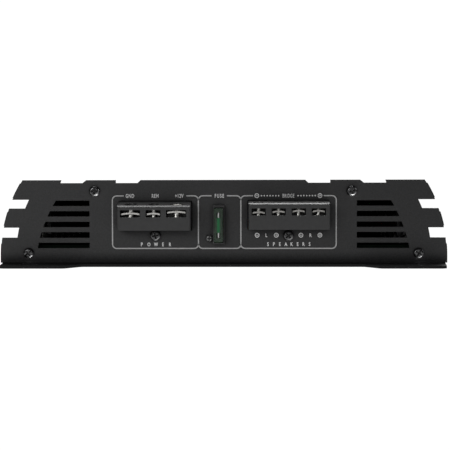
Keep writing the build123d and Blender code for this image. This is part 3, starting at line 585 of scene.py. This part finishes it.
def legend_frame(left, right, top_break, shares_left):
    """Rounded frame whose top line has one break; neighbours share one upright."""
    r = FRAME_CORNER
    top_left = arc(left + r, FRAME_HIGH - r, r, 90, 180)
    bottom_left = arc(left + r, FRAME_LOW + r, r, 180, 270)
    bottom_right = arc(right - r, FRAME_LOW + r, r, 270, 360)
    top_right = arc(right - r, FRAME_HIGH - r, r, 0, 90)
    if shares_left:
        front.stroke(top_left)
        front.stroke(bottom_left + bottom_right + top_right)
    else:
        front.stroke(top_left + bottom_left + bottom_right + top_right)
    for start, end in ((left + r, top_break[0]), (top_break[1], right - r)):
        front.stroke([(start, FRAME_HIGH), (end, FRAME_HIGH)])


for i, top_break in enumerate(TOP_BREAKS):
    legend_frame(UPRIGHTS[i], UPRIGHTS[i + 1], top_break, i > 0)
for words, x in (("GND", -52.1), ("REM", -37.9), ("+12V", -24.4)):
    lettering.text(words, x, FRAME_HIGH, TERMINAL_STYLE)
lettering.text("FUSE", -1.9, FRAME_HIGH, FUSE_STYLE)
lettering.text("BRIDGE", 36.7, FRAME_HIGH, BRIDGE_STYLE)
lettering.spread("POWER", -45.5, 3.97, 12.2, BLOCK_STYLE)
lettering.spread("SPEAKERS", 25.3, 3.32, 12.3, BLOCK_STYLE)
lettering.sign(19.05, FRAME_HIGH, False)
lettering.sign(54.3, FRAME_HIGH, True)
for first_dot in (21.65, 42.1):
    for i in range(DOTS):
        lettering.disc(first_dot + DOT_PITCH * i, FRAME_HIGH, DOT_R)
for x, plus in ((19.2, False), (29.9, True), (43.7, False), (54.3, True)):
    lettering.sign(x, CHANNEL_Z, plus)
for letter, x in (("L", 24.4), ("R", 49.1)):
    lettering.text(letter, x, CHANNEL_Z, CHANNEL_STYLE)
front.done(INK)
lettering.done(INK_BRIGHT)

# control end: each word stands above or beside the piece that it names, all in millimetres
SIDE_STYLE = Style(2.2, 0.8, 1.0, 0.03)
SOCKET_STYLE = Style(1.9, 0.75, 1.1, 0.03)
CONTROL_STYLE = Style(1.9, 0.72, 1.05, 0.03)
SETTING_STYLE = Style(1.3, 0.7, 1.0, 0.03)
POWER_STYLE = Style(1.6, 0.75, 1.05, 0.03)
PROTECT_STYLE = Style(1.6, 0.72, 1.05, 0.03)
KNOBS = {"level_knob": "LEVEL", "low_pass_knob": "LOW PASS", "bass_boost_knob": "BASS BOOST"}
SOCKET_ROW = 7.0         # height of the upper row of sockets above the middle of both
SWITCH_STEP = 4.0        # from one setting's word to the next
TICKS = 11
TICK_STEP = 30           # degrees
TICK_ENDS = (6.4, 7.6)   # from the knob's axis

rear = Print("rear_legend", -FACE_Y, 1)
sockets = middle_mm("rca_shells")
sockets_high = box_mm("rca_shells")[1]
for letter, node in (("L", "rca_insulators_left"), ("R", "rca_insulators_right")):
    rear.text(letter, middle_mm(node).x, sockets_high.z + 2.6, SIDE_STYLE)
rear.text("INPUT", sockets_high.x + 8.0, sockets.z + SOCKET_ROW, SOCKET_STYLE)
rear.text("OUTPUT", sockets_high.x + 8.7, sockets.z - SOCKET_ROW, SOCKET_STYLE)
for node, words in KNOBS.items():
    knob = middle_mm(node)
    rear.text(words, knob.x, knob.z + 10.5, CONTROL_STYLE)
    for i in range(TICKS):
        angle = TICK_STEP * (i - 2)
        rear.stroke([on_circle(knob.x, knob.z, r, angle) for r in TICK_ENDS], 0.35)
switch = middle_mm("switch_frame")
switch_top = box_mm("switch_frame")[1].z
rear.text("CROSSOVER", switch.x, switch_top + 4.5, CONTROL_STYLE)
for i, words in enumerate(("HPF", "FULL", "LPF")):
    rear.text(words, switch.x + SWITCH_STEP * (i - 1), switch_top + 0.1, SETTING_STYLE)
for node, words, style in (("power_led", "POWER", POWER_STYLE), ("protect_led", "PROTECT", PROTECT_STYLE)):
    rear.text(words, middle_mm(node).x, box_mm(node)[1].z + 1.9, style)
rear.done(INK)


# ---------------------------------------------------------------- stage

FLOOR_LIGHT = 0.9        # strength of the floor's light near the object
FLOOR_LIGHT_FAR = 0.108  # and out at the edge of the pool
POOL = (0.25, 0.7)       # where the pool of light starts and ends to fade, m from the middle
BACKDROP = 1.05          # brightness of the floor and the room as the camera sees them
ROOM_LIGHT = 0.06        # strength of the even light from all round

floor_mesh = bpy.data.meshes.new("floor")
grid = bmesh.new()
bmesh.ops.create_grid(grid, x_segments=2, y_segments=2, size=4.0)
grid.to_mesh(floor_mesh)
grid.free()
floor = bpy.data.objects.new("floor", floor_mesh)
floor.location = (0, 0, -0.2 * MM)
bpy.context.scene.collection.objects.link(floor)

# the camera sees an even, pale floor; for the object it is a pool of soft light from below
paper = bpy.data.materials.new("paper")
paper.use_nodes = True
floor_mesh.materials.append(paper)
glow = NodeTree(paper.node_tree)
distance = glow.vector_maths("LENGTH", glow.node("ShaderNodeNewGeometry").outputs["Position"])
strength = glow.ranged(distance, *POOL, FLOOR_LIGHT, FLOOR_LIGHT_FAR)
pool = glow.node("ShaderNodeEmission", Strength=strength).outputs["Emission"]
seen = glow.node("ShaderNodeEmission", Strength=BACKDROP).outputs["Emission"]
camera_ray = glow.node("ShaderNodeLightPath").outputs["Is Camera Ray"]
choice = glow.node("ShaderNodeMixShader")
glow.feed(choice.inputs, (camera_ray, pool, seen))
glow.fill(paper.node_tree.nodes["Material Output"], {"Surface": choice.outputs["Shader"]})

world = bpy.data.worlds.new("studio")
world.use_nodes = True
bpy.context.scene.world = world
room = NodeTree(world.node_tree)
camera_ray = room.node("ShaderNodeLightPath").outputs["Is Camera Ray"]
strength = room.ranged(camera_ray, 0.0, 1.0, ROOM_LIGHT, BACKDROP)
room.fill(world.node_tree.nodes["Background"], {"Color": (1, 1, 1, 1), "Strength": strength})


# ---------------------------------------------------------------- lamps, all places in metres

FRONT = (0, -0.1, 0.02)  # middle of the terminal end


def lamp(name, place, aim, size, power):
    data = bpy.data.lights.new(name, "AREA")
    data.shape = "RECTANGLE"
    data.size, data.size_y = size
    data.energy = power
    obj = bpy.data.objects.new(name, data)
    obj.location = place
    obj.rotation_mode = "QUATERNION"
    obj.rotation_quaternion = (Vector(aim) - Vector(place)).to_track_quat("-Z", "Y")
    bpy.context.scene.collection.objects.link(obj)
    return obj


def only_on(light, name):
    """Let a light fall on one of the CAD pieces only, and return the group that holds it."""
    group = bpy.data.collections.new(light.name + "_receivers")
    group.objects.link(nodes[name])
    light.light_linking.receiver_collection = group
    return group


lamp("key", place=(-0.55, -1.0, 0.36), aim=FRONT, size=(0.55, 0.35), power=2.75)
lamp("soft", place=(0.1, -1.2, 0.25), aim=FRONT, size=(0.8, 0.3), power=0.75)
lamp("rear", place=(0.5, 1.2, 0.6), aim=(0, 0.1, 0.02), size=(0.9, 0.7), power=14)
lamp("side", place=(1.3, 0.1, 0.5), aim=(0.1, 0, 0.03), size=(0.9, 0.5), power=6)
lamp("top", place=(0.0, 0.25, 1.1), aim=(0, 0.05, 0.03), size=(0.9, 0.4), power=6)

# a narrow strip overhead for the top front edge of each black moulding
for name, power in (("power_terminal_body", 3.0), ("speaker_terminal_body", 5.5), ("fuse_holder", 5.0)):
    strip = lamp(name + "_edge", (0.0, -0.12, 0.7), (0, -0.105, 0.03), (0.9, 0.05), power)
    only_on(strip, name)

# a card below the floor, which only the screws themselves can shade, for the lower rims of their heads
card = lamp("screw_card", place=(0.25, -0.4, -0.5), aim=FRONT, size=(0.5, 0.3), power=12)
card.light_linking.blocker_collection = only_on(card, "end_plate_screws")


# ---------------------------------------------------------------- camera

TILT_DOWN = 2.05         # degrees
ROLL = 0.11              # degrees
TURN_LEFT = 1.405        # degrees

camera = bpy.data.objects.new("camera", bpy.data.cameras.new("camera"))
camera.data.sensor_width = 36.0
camera.data.lens = 92.9
camera.data.clip_start = 0.01
camera.location = (0.0172, -0.7465, 0.0463)
camera.rotation_euler = [math.radians(angle) for angle in (90 - TILT_DOWN, ROLL, TURN_LEFT)]
bpy.context.scene.collection.objects.link(camera)
bpy.context.scene.camera = camera
bpy.context.scene.view_settings.view_transform = "Standard"
